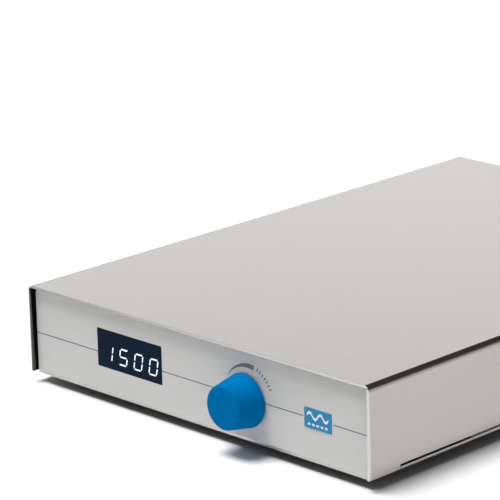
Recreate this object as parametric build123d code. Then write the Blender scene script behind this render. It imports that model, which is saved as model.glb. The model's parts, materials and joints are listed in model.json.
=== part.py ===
from build123d import *
from math import cos, pi
import os

# Magnetic stirrer with six stirring positions: a flat sheet-metal case whose top carries
# the vessels, with one motor that turns six magnet rotors through belts.
# Millimetres, +Z up, the control panel faces -Y.
# The origin is the centre of the footprint, knob included, on the table under the feet.

# ---- Case ----
COLUMN_PITCH = 112.0        # between stirring positions, left to right
ROW_PITCH = 94.0            # between stirring positions, front to back
SIDE_MARGIN = 61.0          # outer column to the side wall
FRONT_MARGIN = 84.5         # first row to the front edge, with the electronics in front of it
REAR_MARGIN = 61.5          # last row to the rear edge
BODY_HEIGHT = 46.0          # case without its feet
FOOT_HEIGHT = 6.0
SHEET = 1.2                 # stainless sheet of the cover and the tray
COVER_BEND = 2.6            # outer bend radius of the cover
TRAY_BEND = 2.0             # outer bend radius of the tray's rear wall
TRAY_GAP = 0.8              # tray's end walls to the cover's side walls
SKIRT_DROP = 1.0            # front panel's lower edge below the tray's underside
EDGE_RAKE = 1.3             # how far the side walls' ends lean inwards at the bottom
FRONT_RECESS = 2.7          # panel face behind the cover's front edge
REAR_RECESS = 6.0           # rear panel behind the cover's rear edge
NOTCH_START = 21.6          # side notch to the cover's end
NOTCH_HEIGHT = 2.3
GAP = 0.3                   # between sheet parts that slide together
SEAT_GAP = 0.02             # around a piece that is pressed or glued in
RUN_GAP = 0.05              # radial clearance of a running fit

COLUMNS = 2
ROWS = 3
WIDTH = SIDE_MARGIN * 2 + COLUMN_PITCH * (COLUMNS - 1)
DEPTH = FRONT_MARGIN + ROW_PITCH * (ROWS - 1) + REAR_MARGIN

# ---- Control panel ----
OVERLAY_THICK = 0.3
OVERLAY_MARGIN = 0.3
OVERLAY_RISE = 0.7          # overlay's lower edge above the tray's underside
WINDOW_WIDTH = 46.5
WINDOW_HEIGHT = 20.1
WINDOW_X = -45.6
WINDOW_RISE = 23.4          # window's centre above the tray's underside
WINDOW_CORNER = 0.6
WINDOW_LIP = 2.0            # flange behind the panel, all round the window
WINDOW_LIP_THICK = 1.0
BADGE_WIDTH = 17.2
BADGE_HEIGHT = 9.9
BADGE_THICK = 0.3
BADGE_X = 82.7
BADGE_CORNER = 0.5
BADGE_RISE = 20.8           # badge's centre above the tray's underside

# ---- Knob and encoder ----
KNOB_X = 35.4
KNOB_RISE = 19.6            # knob's axis above the tray's underside
KNOB_BASE_RADIUS = 13.6
KNOB_FACE_RADIUS = 11.0
KNOB_LENGTH = 14.8
KNOB_EDGE = 1.4             # rounded front edge
KNOB_GAP = 0.9              # between the knob and the panel
KNOB_HOLLOW_GAP = 2.8       # round the corners of the encoder's nut
KNOB_HOLLOW_DEPTH = 6.6
KNOB_SOCKET_DEPTH = 11.0    # end of the shaft's seat, from the knob's base
SHAFT_RADIUS = 3.0
SHAFT_FLAT = 1.5            # depth of the shaft's flat
SHAFT_END_ROOM = 0.9        # behind the shaft, more than the knob's push
BUSH_WALL = 0.45            # threaded bush of the encoder, round its shaft
BUSH_REACH = 4.6            # bush in front of the overlay
ENCODER_SIDE = 1.5          # housing beside the wheel's chamber
ENCODER_DEPTH = 7.0
ENCODER_WALL = 1.4
WHEEL_RIM = 1.7             # wheel beyond its shaft
WHEEL_THICK = 2.0
NUT_WALL = 1.5
NUT_THICK = 2.0

# ---- Rotors ----
ROTOR_RADIUS = 31.0
ROTOR_THICK = 8.0
ROTOR_CEILING_GAP = 3.5     # rotor's top to the underside of the cover
MAGNET_RADIUS = 8.0
MAGNET_THICK = 6.0
MAGNET_ARM = 20.0           # magnet's centre to the rotor's axis
STEM_WALL = 3.45            # rotor's stem round its bushing
PULLEY_RADIUS = 12.0
FLANGE_STEP = 2.0           # flange beyond the belt's seat
FLANGE_THICK = 1.6
GROOVE_WIDTH = 4.6
POST_RADIUS = 4.0
POST_HEAD_STEP = 2.5
POST_HEAD_THICK = 1.5
POST_CEILING_GAP = 1.5
BUSHING_WALL = 1.5
WASHER_STEP = 4.0
WASHER_THICK = 0.5
HUB_LIFT = 0.8              # rotor's lower face above the drive plate
CLIP_STEP = 3.0
CLIP_THICK = 1.0
CLIP_BITE = 0.8             # depth of the clip's groove in the post

# ---- Drive ----
MOTOR_X = 0.0               # between the columns
PLATE_LIFT = 6.0            # drive plate above the tray's floor
PLATE_THICK = 2.0
PLATE_REACH = 24.0          # drive plate beyond the outer rotor axes
STANDOFF_RADIUS = 4.0
STANDOFF_OUT = 16.0         # standoffs beside the outer columns
STANDOFF_AHEAD = 18.0       # end standoffs beyond the outer rows
MOTOR_RADIUS = 18.0
MOTOR_LENGTH = 11.0
MOTOR_CHAMFER = 1.4
MOTOR_SHAFT_RADIUS = 2.0
MOTOR_SHAFT_SEAT = 6.0      # depth of the shaft inside the motor
MOTOR_SCREW_ARM = 12.5
MOTOR_SCREW_COUNT = 4
MOTOR_SCREW_TURN = 45.0     # degrees from the motor's +X side to its first screw
MOTOR_PULLEY_RADIUS = 6.0
BRACKET_THICK = 2.0
BRACKET_RISE = 6.2          # bracket's top above the drive plate
BRACKET_GAP = 1.5           # motor to the bracket's legs
BRACKET_DEPTH = 40.0
BRACKET_FOOT = 8.5
BELT_WIDTH = 4.0
BELT_THICK = 1.2

# ---- Feet and fasteners ----
FOOT_INSET = 26.0
FOOT_TOP_RADIUS = 9.0
FOOT_BOTTOM_RADIUS = 8.0
FOOT_RECESS_RADIUS = 4.2
FOOT_RECESS_DEPTH = 3.0
FOOT_EDGE = 0.8
FOOT_SCREW_RADIUS = 2.0
FOOT_SCREW_HEAD_RADIUS = 3.7
FOOT_SCREW_HEAD_THICK = 1.8
SCREW_RADIUS = 1.5
SCREW_HEAD_RADIUS = 2.8
SCREW_HEAD_THICK = 1.4
SCREW_SLOT_WIDTH = 0.8
SCREW_SLOT_DEPTH = 0.6
SCREW_REACH = 2.6           # shank beyond the last sheet that it holds
BRACKET_LEG = 22.0          # cover bracket along the tray
BRACKET_HEIGHT = 14.0
BRACKET_LENGTH = 24.0
COVER_BRACKET_THICK = 1.5
COVER_SCREW_INSET = 16.0    # cover screw to the side wall's inner face

# ---- Electronics ----
BOARD_THICK = 1.6
DISPLAY_BOARD_WIDTH = 62.0
DISPLAY_BOARD_HEIGHT = 26.0
DIGITS_WIDTH = 41.0
DIGITS_HEIGHT = 15.0
DIGITS_DEPTH = 7.0
BOARD_POST_RADIUS = 2.0
BOARD_POST_INSET = 2.6
CONTROL_BOARD_WIDTH = 176.0
CONTROL_BOARD_DEPTH = 32.0
CONTROL_BOARD_SETBACK = 19.0  # behind the front panel
CONTROL_BOARD_LIFT = 5.0
HEAT_SINK_WIDTH = 32.0
HEAT_SINK_DEPTH = 12.0
HEAT_SINK_HEIGHT = 14.0
HEAT_SINK_BASE = 3.0
HEAT_SINK_FINS = 7
HEAT_SINK_FIN = 1.6
HEAT_SINK_X = 62.0
CAPACITOR_COUNT = 3
CAPACITOR_RADIUS = 5.0
CAPACITOR_HEIGHT = 13.0
CAPACITOR_PITCH = 13.0
CAPACITOR_X = -76.0
CONNECTOR_WIDTH = 12.0
CONNECTOR_DEPTH = 8.0
CONNECTOR_HEIGHT = 7.0
CHIP_WIDTH = 14.0
CHIP_THICK = 1.5
CHIP_X = 30.0
CABLE_THICK = 0.9
CABLE_BEND = 2.2
CABLE_LIFT = 2.6            # cables above the tray's floor
RIBBON_WIDTH = 10.0
LEAD_WIDTH = 4.0

# ---- Rear panel ----
REAR_RISE = 22.0            # inlet and switch above the tray's underside
INLET_X = 24.0
INLET_RADIUS = 5.5
INLET_FLANGE_RADIUS = 7.5
INLET_FLANGE_THICK = 2.0
INLET_LENGTH = 14.0
INLET_SOCKET_RADIUS = 2.9
INLET_SOCKET_DEPTH = 9.5
INLET_PIN_RADIUS = 1.0
INLET_PIN_LENGTH = 8.5
INLET_NUT_RADIUS = 7.5
INLET_NUT_THICK = 2.5
SWITCH_X = -24.0
SWITCH_WIDTH = 19.0
SWITCH_HEIGHT = 13.0
SWITCH_LENGTH = 14.0
SWITCH_CORNER = 0.6
SWITCH_BEZEL = 1.4
SWITCH_BEZEL_THICK = 1.6
ROCKER_WIDTH = 14.0
ROCKER_HEIGHT = 9.0
ROCKER_SIDE_GAP = 0.8
ROCKER_TILT = 10.0          # degrees either side of level
ROCKER_PIVOT_DEPTH = 3.0    # below the bezel's face
ROCKER_END_RISE = 1.8       # ends above the bezel's face when level
ROCKER_DIP = 1.0            # middle below the ends
ROCKER_KEEL = 4.0           # lowest point below the pivot
ROCKER_KEEL_WIDTH = 6.0
ROCKER_HOLLOW = 9.0         # depth of the switch's hollow

# ---- Levels and faces that follow from the sizes above ----
UNDERSIDE = FOOT_HEIGHT
FLOOR = UNDERSIDE + SHEET
TOP = UNDERSIDE + BODY_HEIGHT
CEILING = TOP - SHEET
TRAY_TOP = CEILING - GAP
KNOB_Z = UNDERSIDE + KNOB_RISE
BADGE_Z = UNDERSIDE + BADGE_RISE
WINDOW_Z = UNDERSIDE + WINDOW_RISE
REAR_Z = UNDERSIDE + REAR_RISE

BUSH_RADIUS = SHAFT_RADIUS + RUN_GAP + BUSH_WALL
WHEEL_RADIUS = SHAFT_RADIUS + WHEEL_RIM
CHAMBER_RADIUS = WHEEL_RADIUS + GAP
ENCODER_HALF = CHAMBER_RADIUS + ENCODER_SIDE
NUT_RADIUS = BUSH_RADIUS + NUT_WALL
NUT_CORNER = NUT_RADIUS / cos(pi / 6)
KNOB_HOLLOW_RADIUS = NUT_CORNER + KNOB_HOLLOW_GAP
KNOB_REACH = KNOB_GAP + KNOB_LENGTH - FRONT_RECESS
FRONT = KNOB_REACH - (DEPTH + KNOB_REACH) / 2
REAR = FRONT + DEPTH
OVERLAY_FACE = FRONT + FRONT_RECESS
PANEL_FACE = OVERLAY_FACE + OVERLAY_THICK
PANEL_BACK = PANEL_FACE + SHEET
REAR_FACE = REAR - REAR_RECESS
REAR_BACK = REAR_FACE - SHEET
SIDE = WIDTH / 2
WALL = SIDE - SHEET
TRAY_SIDE = WALL - TRAY_GAP

COLUMN_X = [COLUMN_PITCH * (column - (COLUMNS - 1) / 2) for column in range(COLUMNS)]
ROW_Y = [FRONT + FRONT_MARGIN + ROW_PITCH * row for row in range(ROWS)]
POSITIONS = [(x, y) for y in ROW_Y for x in COLUMN_X]

FLANGE_RADIUS = PULLEY_RADIUS + FLANGE_STEP
MOTOR_FLANGE_RADIUS = MOTOR_PULLEY_RADIUS + FLANGE_STEP
BORE_RADIUS = POST_RADIUS + RUN_GAP
BUSHING_RADIUS = BORE_RADIUS + BUSHING_WALL
STEM_RADIUS = BUSHING_RADIUS + STEM_WALL

PLATE_BOTTOM = FLOOR + PLATE_LIFT
PLATE_TOP = PLATE_BOTTOM + PLATE_THICK
HUB_BOTTOM = PLATE_TOP + HUB_LIFT
GROOVE_STEP = FLANGE_THICK + GROOVE_WIDTH
LOWER_GROOVE = HUB_BOTTOM + FLANGE_THICK + GROOVE_WIDTH / 2
UPPER_GROOVE = LOWER_GROOVE + GROOVE_STEP
PULLEY_TOP = HUB_BOTTOM + 2 * GROOVE_STEP + FLANGE_THICK
ROTOR_TOP = CEILING - ROTOR_CEILING_GAP
ROTOR_BOTTOM = ROTOR_TOP - ROTOR_THICK
POST_TOP = CEILING - POST_CEILING_GAP
CLIP_BOTTOM = ROTOR_TOP + GAP

MOTOR_Y = ROW_Y[-1]
BRACKET_TOP = PLATE_TOP + BRACKET_RISE
MOTOR_TOP = BRACKET_TOP - BRACKET_THICK
BRACKET_INNER = MOTOR_RADIUS + BRACKET_GAP
BRACKET_OUTER = BRACKET_INNER + BRACKET_THICK
BRACKET_END = BRACKET_OUTER + BRACKET_FOOT

PLATE_SIDE = COLUMN_X[-1] + PLATE_REACH
PLATE_FRONT = ROW_Y[0] - PLATE_REACH
PLATE_REAR = ROW_Y[-1] + PLATE_REACH
STANDOFF_X = COLUMN_X[-1] + STANDOFF_OUT
STANDOFF_Y = [ROW_Y[0] - STANDOFF_AHEAD]
STANDOFF_Y += [(near + far) / 2 for near, far in zip(ROW_Y, ROW_Y[1:])]
STANDOFF_Y += [ROW_Y[-1] + STANDOFF_AHEAD]
STANDOFFS = [(side * STANDOFF_X, y) for side in (-1, 1) for y in STANDOFF_Y]
BRACKET_SCREW_X = (BRACKET_OUTER + BRACKET_END) / 2
BRACKET_SCREW_Y = BRACKET_DEPTH / 2 - SCREW_HEAD_RADIUS - GAP
BRACKET_SCREWS = [
    (MOTOR_X + side * BRACKET_SCREW_X, MOTOR_Y + end * BRACKET_SCREW_Y)
    for side in (-1, 1)
    for end in (-1, 1)
]
FEET = [
    (side * (SIDE - FOOT_INSET), y)
    for side in (-1, 1)
    for y in (FRONT + FOOT_INSET, REAR - FOOT_INSET)
]
COVER_SCREW_X = WALL - COVER_SCREW_INSET
COVER_SCREWS = [(side * COVER_SCREW_X, y) for side in (-1, 1) for y in (ROW_Y[0], ROW_Y[-1])]

DISPLAY_BOARD_FACE = PANEL_BACK + WINDOW_LIP_THICK + GAP + DIGITS_DEPTH
CONTROL_FRONT = PANEL_BACK + CONTROL_BOARD_SETBACK
CONTROL_REAR = CONTROL_FRONT + CONTROL_BOARD_DEPTH
CONTROL_BOTTOM = FLOOR + CONTROL_BOARD_LIFT
CONTROL_TOP = CONTROL_BOTTOM + BOARD_THICK


def block(x_low, x_high, y_low, y_high, z_low, z_high):
    """A box between two corners."""
    size = (x_high - x_low, y_high - y_low, z_high - z_low)
    middle = ((x_low + x_high) / 2, (y_low + y_high) / 2, (z_low + z_high) / 2)
    return Pos(*middle) * Box(*size)


def upright(radius, bottom, top, x=0.0, y=0.0):
    """A round bar along Z."""
    return Pos(x, y, (bottom + top) / 2) * Cylinder(radius, top - bottom)


def lengthwise(radius, start, end, x, z):
    """A round bar along Y."""
    return Pos(x, (start + end) / 2, z) * Rot(90, 0, 0) * Cylinder(radius, end - start)


def panel_plate(width, height, corner, start, end, x, z):
    """A flat plate parallel to the front panel, with rounded corners."""
    outline = RectangleRounded(width, height, corner)
    return Pos(x, end, z) * Rot(90, 0, 0) * extrude(outline, end - start)


def along_x(outline, low, high):
    """An outline drawn in Y and Z, made solid from one X to another."""
    face = Plane.YZ.offset(low) * outline
    return extrude(face, high - low)


def along_y(outline, low, high):
    """An outline drawn in X and Z, made solid from one Y to another."""
    face = Plane.XZ.offset(-low) * outline
    return extrude(face, low - high)


def screw(x, y, seat, end, head_radius=SCREW_HEAD_RADIUS, head_thick=SCREW_HEAD_THICK,
          radius=SCREW_RADIUS):
    """A slotted screw: its head lies on the seat, on the side away from its end."""
    side = 1 if seat > end else -1
    face = seat + side * head_thick
    head = upright(head_radius, min(seat, face), max(seat, face), x, y)
    shank = upright(radius, min(seat, end), max(seat, end), x, y)
    slot_end = face - side * SCREW_SLOT_DEPTH
    slot = block(x - head_radius, x + head_radius, y - SCREW_SLOT_WIDTH / 2,
                 y + SCREW_SLOT_WIDTH / 2, min(face, slot_end), max(face, slot_end))
    return head + shank - slot


def belt(pulley_a, pulley_b, middle_z):
    """A flat belt round two pulleys, each given as (x, y, radius under the belt)."""
    rings = []
    for thickness in (GAP + BELT_THICK, GAP):
        circles = [Pos(x, y) * Circle(radius + thickness) for x, y, radius in (pulley_a, pulley_b)]
        rings.append(make_hull(circles[0].edges() + circles[1].edges()))
    face = Pos(0, 0, middle_z - BELT_WIDTH / 2) * (rings[0] - rings[1])
    return extrude(face, BELT_WIDTH)


def cable(points, width, x):
    """A flat cable that runs through points given in Y and Z."""
    placed = Plane.YZ.offset(x) * FilletPolyline(*points, radius=CABLE_BEND)
    section_plane = Plane(origin=placed @ 0, x_dir=(1, 0, 0), z_dir=placed % 0)
    return sweep(section_plane * Rectangle(width, CABLE_THICK), path=placed)


# ---- Case ----
def cover():
    height = BODY_HEIGHT
    outer = Rectangle(WIDTH, height)
    outer = fillet(outer.vertices().group_by(Axis.Y)[-1], COVER_BEND)
    inner = Pos(0, -SHEET) * Rectangle(WIDTH - 2 * SHEET, height)
    inner = fillet(inner.vertices().group_by(Axis.Y)[-1], COVER_BEND - SHEET)
    section = Pos(0, UNDERSIDE + height / 2) * (outer - inner)
    shell = along_y(section, FRONT, REAR)
    for end, inward in ((FRONT, 1), (REAR, -1)):
        lean = Polygon(
            (end, TOP),
            (end + inward * EDGE_RAKE, UNDERSIDE),
            (end - inward * EDGE_RAKE, UNDERSIDE),
            align=None,
        )
        shell -= along_x(lean, -SIDE, SIDE)
    shell -= block(-SIDE, SIDE, FRONT + NOTCH_START, REAR - NOTCH_START,
                   UNDERSIDE, UNDERSIDE + NOTCH_HEIGHT)
    return shell


def base_tray():
    length = REAR_FACE - PANEL_FACE
    height = TRAY_TOP - UNDERSIDE
    outer = Rectangle(length, height)
    outer = fillet(outer.vertices().group_by(Axis.Y)[0].sort_by(Axis.X)[-1], TRAY_BEND)
    inner = Pos(0, SHEET) * Rectangle(length - 2 * SHEET, height)
    inner = fillet(inner.vertices().group_by(Axis.Y)[0].sort_by(Axis.X)[-1], TRAY_BEND - SHEET)
    section = Pos((PANEL_FACE + REAR_FACE) / 2, UNDERSIDE + height / 2) * (outer - inner)
    tray = along_x(section, -TRAY_SIDE, TRAY_SIDE)
    front_view = Rectangle(2 * TRAY_SIDE, height)
    front_view = fillet(front_view.vertices().group_by(Axis.Y)[-1], COVER_BEND)
    front_view = Pos(0, UNDERSIDE + height / 2) * front_view
    tray &= along_y(front_view, PANEL_FACE, REAR_FACE)
    tray += block(-TRAY_SIDE, TRAY_SIDE, PANEL_FACE, PANEL_BACK, UNDERSIDE - SKIRT_DROP, FLOOR)
    tray += block(-SIDE, SIDE, FRONT + NOTCH_START + GAP, REAR - NOTCH_START - GAP,
                  UNDERSIDE, FLOOR)
    tray -= panel_plate(WINDOW_WIDTH + 2 * SEAT_GAP, WINDOW_HEIGHT + 2 * SEAT_GAP,
                        WINDOW_CORNER + SEAT_GAP, PANEL_FACE, PANEL_BACK, WINDOW_X, WINDOW_Z)
    tray -= lengthwise(BUSH_RADIUS + RUN_GAP, PANEL_FACE, PANEL_BACK, KNOB_X, KNOB_Z)
    tray -= lengthwise(INLET_RADIUS + RUN_GAP, REAR_BACK, REAR_FACE, INLET_X, REAR_Z)
    tray -= panel_plate(SWITCH_WIDTH + 2 * RUN_GAP, SWITCH_HEIGHT + 2 * RUN_GAP,
                        SWITCH_CORNER, REAR_BACK, REAR_FACE, SWITCH_X, REAR_Z)
    for x, y in FEET:
        tray -= upright(FOOT_SCREW_RADIUS + RUN_GAP, UNDERSIDE, FLOOR, x, y)
    for x, y in COVER_SCREWS:
        tray -= upright(SCREW_RADIUS + RUN_GAP, UNDERSIDE, FLOOR, x, y)
    return tray


def cover_brackets():
    brackets = []
    for x, y in COVER_SCREWS:
        side = 1 if x > 0 else -1
        inner = side * (WALL - BRACKET_LEG)
        wall = side * WALL
        skin = side * (WALL - COVER_BRACKET_THICK)
        low = y - BRACKET_LENGTH / 2
        high = y + BRACKET_LENGTH / 2
        leg = block(min(inner, wall), max(inner, wall), low, high,
                    FLOOR, FLOOR + COVER_BRACKET_THICK)
        riser = block(min(skin, wall), max(skin, wall), low, high, FLOOR, FLOOR + BRACKET_HEIGHT)
        bracket = leg + riser
        bracket -= upright(SCREW_RADIUS + SEAT_GAP, FLOOR, FLOOR + COVER_BRACKET_THICK, x, y)
        brackets.append(bracket)
    return Compound(brackets)


def cover_screws():
    end = FLOOR + COVER_BRACKET_THICK + SCREW_REACH
    return Compound([screw(x, y, UNDERSIDE, end) for x, y in COVER_SCREWS])


def feet():
    pieces = []
    for x, y in FEET:
        cone = Cone(FOOT_BOTTOM_RADIUS, FOOT_TOP_RADIUS, FOOT_HEIGHT)
        cone = fillet(cone.edges().group_by(Axis.Z)[0], FOOT_EDGE)
        foot = Pos(x, y, FOOT_HEIGHT / 2) * cone
        foot -= upright(FOOT_RECESS_RADIUS, 0, FOOT_RECESS_DEPTH, x, y)
        foot -= upright(FOOT_SCREW_RADIUS + SEAT_GAP, FOOT_RECESS_DEPTH, FOOT_HEIGHT, x, y)
        pieces.append(foot)
    return Compound(pieces)


def foot_screws():
    end = FLOOR + SCREW_REACH
    return Compound([
        screw(x, y, FOOT_RECESS_DEPTH, end, FOOT_SCREW_HEAD_RADIUS, FOOT_SCREW_HEAD_THICK,
              FOOT_SCREW_RADIUS)
        for x, y in FEET
    ])


# ---- Control panel ----
def front_overlay():
    low = UNDERSIDE + OVERLAY_RISE
    high = TRAY_TOP - OVERLAY_MARGIN
    outline = Rectangle(2 * (TRAY_SIDE - OVERLAY_MARGIN), high - low)
    outline = fillet(outline.vertices().group_by(Axis.Y)[-1], COVER_BEND)
    film = Pos(0, (low + high) / 2) * outline
    film = along_y(film, OVERLAY_FACE, PANEL_FACE)
    film -= panel_plate(WINDOW_WIDTH + 2 * SEAT_GAP, WINDOW_HEIGHT + 2 * SEAT_GAP,
                        WINDOW_CORNER + SEAT_GAP, OVERLAY_FACE, PANEL_FACE, WINDOW_X, WINDOW_Z)
    film -= lengthwise(BUSH_RADIUS + RUN_GAP, OVERLAY_FACE, PANEL_FACE, KNOB_X, KNOB_Z)
    return film


def display_window():
    lens = panel_plate(WINDOW_WIDTH, WINDOW_HEIGHT, WINDOW_CORNER, OVERLAY_FACE, PANEL_BACK,
                       WINDOW_X, WINDOW_Z)
    lip = panel_plate(WINDOW_WIDTH + 2 * WINDOW_LIP, WINDOW_HEIGHT + 2 * WINDOW_LIP,
                      WINDOW_CORNER + WINDOW_LIP, PANEL_BACK, PANEL_BACK + WINDOW_LIP_THICK,
                      WINDOW_X, WINDOW_Z)
    return lens + lip


def badge():
    return panel_plate(BADGE_WIDTH, BADGE_HEIGHT, BADGE_CORNER, OVERLAY_FACE - BADGE_THICK,
                       OVERLAY_FACE, BADGE_X, BADGE_Z)


def knob():
    body = Cone(KNOB_BASE_RADIUS, KNOB_FACE_RADIUS, KNOB_LENGTH)
    body = fillet(body.edges().group_by(Axis.Z)[-1], KNOB_EDGE)
    base = OVERLAY_FACE - KNOB_GAP
    body = Pos(KNOB_X, base - KNOB_LENGTH / 2, KNOB_Z) * Rot(90, 0, 0) * body
    body -= lengthwise(KNOB_HOLLOW_RADIUS, base - KNOB_HOLLOW_DEPTH, base, KNOB_X, KNOB_Z)
    seat_end = base - KNOB_SOCKET_DEPTH
    seat = lengthwise(SHAFT_RADIUS + SEAT_GAP, seat_end, base - KNOB_HOLLOW_DEPTH,
                      KNOB_X, KNOB_Z)
    flat = KNOB_Z + SHAFT_RADIUS - SHAFT_FLAT + SEAT_GAP
    seat -= block(KNOB_X - SHAFT_RADIUS, KNOB_X + SHAFT_RADIUS, seat_end,
                  base - KNOB_HOLLOW_DEPTH, flat, flat + SHAFT_RADIUS)
    return body - seat


def encoder_shaft():
    tip = OVERLAY_FACE - KNOB_GAP - KNOB_SOCKET_DEPTH
    end = PANEL_BACK + ENCODER_DEPTH - ENCODER_WALL - SHAFT_END_ROOM
    shaft = lengthwise(SHAFT_RADIUS, tip, end, KNOB_X, KNOB_Z)
    flat = KNOB_Z + SHAFT_RADIUS - SHAFT_FLAT
    flat_end = OVERLAY_FACE - KNOB_GAP - KNOB_HOLLOW_DEPTH + GAP
    return shaft - block(KNOB_X - SHAFT_RADIUS, KNOB_X + SHAFT_RADIUS, tip, flat_end,
                         flat, flat + SHAFT_RADIUS)


def encoder_wheel():
    start = PANEL_BACK + ENCODER_WALL + GAP
    ring = lengthwise(WHEEL_RADIUS, start, start + WHEEL_THICK, KNOB_X, KNOB_Z)
    return ring - lengthwise(SHAFT_RADIUS + RUN_GAP, start, start + WHEEL_THICK,
                             KNOB_X, KNOB_Z)


def encoder_housing():
    back = PANEL_BACK + ENCODER_DEPTH
    housing = block(KNOB_X - ENCODER_HALF, KNOB_X + ENCODER_HALF, PANEL_BACK, back,
                    KNOB_Z - ENCODER_HALF, KNOB_Z + ENCODER_HALF)
    housing += lengthwise(BUSH_RADIUS, OVERLAY_FACE - BUSH_REACH, PANEL_BACK, KNOB_X, KNOB_Z)
    housing -= lengthwise(CHAMBER_RADIUS, PANEL_BACK + ENCODER_WALL, back - ENCODER_WALL,
                          KNOB_X, KNOB_Z)
    return housing - lengthwise(SHAFT_RADIUS + RUN_GAP, OVERLAY_FACE - BUSH_REACH,
                                PANEL_BACK + ENCODER_WALL, KNOB_X, KNOB_Z)


def encoder_nut():
    hexagon = RegularPolygon(NUT_RADIUS, 6, major_radius=False)
    ring = hexagon - Circle(BUSH_RADIUS + SEAT_GAP)
    return Pos(KNOB_X, OVERLAY_FACE, KNOB_Z) * Rot(90, 0, 0) * extrude(ring, NUT_THICK)


# ---- Rotors ----
def rotor_hub(x, y):
    hub = upright(FLANGE_RADIUS, HUB_BOTTOM, PULLEY_TOP)
    hub += upright(STEM_RADIUS, HUB_BOTTOM, ROTOR_TOP)
    hub += upright(ROTOR_RADIUS, ROTOR_BOTTOM, ROTOR_TOP)
    for middle in (LOWER_GROOVE, UPPER_GROOVE):
        low = middle - GROOVE_WIDTH / 2
        high = middle + GROOVE_WIDTH / 2
        hub -= upright(FLANGE_RADIUS, low, high) - upright(PULLEY_RADIUS, low, high)
    for side in (-1, 1):
        hub -= upright(MAGNET_RADIUS + SEAT_GAP, ROTOR_TOP - MAGNET_THICK, ROTOR_TOP,
                       side * MAGNET_ARM)
    hub -= upright(BUSHING_RADIUS + SEAT_GAP, HUB_BOTTOM, ROTOR_TOP)
    return Pos(x, y) * hub


def rotor_magnets(x, y):
    low = ROTOR_TOP - MAGNET_THICK
    return Compound([
        upright(MAGNET_RADIUS, low, ROTOR_TOP, x + side * MAGNET_ARM, y) for side in (-1, 1)
    ])


def rotor_bushing(x, y):
    sleeve = upright(BUSHING_RADIUS, HUB_BOTTOM, ROTOR_TOP)
    return Pos(x, y) * (sleeve - upright(BORE_RADIUS, HUB_BOTTOM, ROTOR_TOP))


def axle_posts():
    post = upright(POST_RADIUS, PLATE_BOTTOM, POST_TOP)
    post += upright(POST_RADIUS + POST_HEAD_STEP, PLATE_BOTTOM - POST_HEAD_THICK, PLATE_BOTTOM)
    clip_top = CLIP_BOTTOM + CLIP_THICK
    neck = upright(POST_RADIUS, CLIP_BOTTOM, clip_top)
    post -= neck - upright(POST_RADIUS - CLIP_BITE, CLIP_BOTTOM, clip_top)
    return Compound([Pos(x, y) * post for x, y in POSITIONS])


def post_clips():
    clip_top = CLIP_BOTTOM + CLIP_THICK
    outer = POST_RADIUS + CLIP_STEP
    ring = upright(outer, CLIP_BOTTOM, clip_top)
    ring -= upright(POST_RADIUS - CLIP_BITE + SEAT_GAP, CLIP_BOTTOM, clip_top)
    mouth = POST_RADIUS - CLIP_BITE
    ring -= block(-mouth, mouth, 0, outer, CLIP_BOTTOM, clip_top)
    return Compound([Pos(x, y) * ring for x, y in POSITIONS])


def thrust_washers():
    washer_top = PLATE_TOP + WASHER_THICK
    ring = upright(POST_RADIUS + WASHER_STEP, PLATE_TOP, washer_top)
    ring -= upright(POST_RADIUS + SEAT_GAP, PLATE_TOP, washer_top)
    return Compound([Pos(x, y) * ring for x, y in POSITIONS])


# ---- Drive ----
def drive_plate():
    plate = block(-PLATE_SIDE, PLATE_SIDE, PLATE_FRONT, PLATE_REAR, PLATE_BOTTOM, PLATE_TOP)
    for x, y in POSITIONS:
        plate -= upright(POST_RADIUS + SEAT_GAP, PLATE_BOTTOM, PLATE_TOP, x, y)
    for x, y in STANDOFFS + BRACKET_SCREWS:
        plate -= upright(SCREW_RADIUS + SEAT_GAP, PLATE_BOTTOM, PLATE_TOP, x, y)
    return plate - upright(MOTOR_RADIUS + BRACKET_GAP, PLATE_BOTTOM, PLATE_TOP, MOTOR_X, MOTOR_Y)


def plate_standoffs():
    pillar = upright(STANDOFF_RADIUS, FLOOR, PLATE_BOTTOM)
    pillar -= upright(SCREW_RADIUS + SEAT_GAP, FLOOR, PLATE_BOTTOM)
    return Compound([Pos(x, y) * pillar for x, y in STANDOFFS])


def drive_screws():
    plate_screws = [
        screw(x, y, PLATE_TOP, PLATE_BOTTOM - SCREW_REACH) for x, y in STANDOFFS
    ]
    bracket_seat = PLATE_TOP + BRACKET_THICK
    bracket_screws = [
        screw(x, y, bracket_seat, PLATE_BOTTOM - SCREW_REACH) for x, y in BRACKET_SCREWS
    ]
    end = MOTOR_TOP - SCREW_REACH
    motor_screws = [screw(x, y, BRACKET_TOP, end) for x, y in motor_screw_places()]
    return Compound(plate_screws + bracket_screws + motor_screws)


def motor_bracket():
    y_low = MOTOR_Y - BRACKET_DEPTH / 2
    y_high = MOTOR_Y + BRACKET_DEPTH / 2
    bracket = block(MOTOR_X - BRACKET_OUTER, MOTOR_X + BRACKET_OUTER, y_low, y_high,
                    MOTOR_TOP, BRACKET_TOP)
    for side in (-1, 1):
        inner = MOTOR_X + side * BRACKET_INNER
        outer = MOTOR_X + side * BRACKET_OUTER
        end = MOTOR_X + side * BRACKET_END
        bracket += block(min(inner, outer), max(inner, outer), y_low, y_high,
                         PLATE_TOP, BRACKET_TOP)
        bracket += block(min(inner, end), max(inner, end), y_low, y_high,
                         PLATE_TOP, PLATE_TOP + BRACKET_THICK)
    for x, y in BRACKET_SCREWS:
        bracket -= upright(SCREW_RADIUS + SEAT_GAP, PLATE_TOP, PLATE_TOP + BRACKET_THICK, x, y)
    for x, y in motor_screw_places():
        bracket -= upright(SCREW_RADIUS + SEAT_GAP, MOTOR_TOP, BRACKET_TOP, x, y)
    boss = MOTOR_SHAFT_RADIUS + BRACKET_GAP
    return bracket - upright(boss, MOTOR_TOP, BRACKET_TOP, MOTOR_X, MOTOR_Y)


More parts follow.
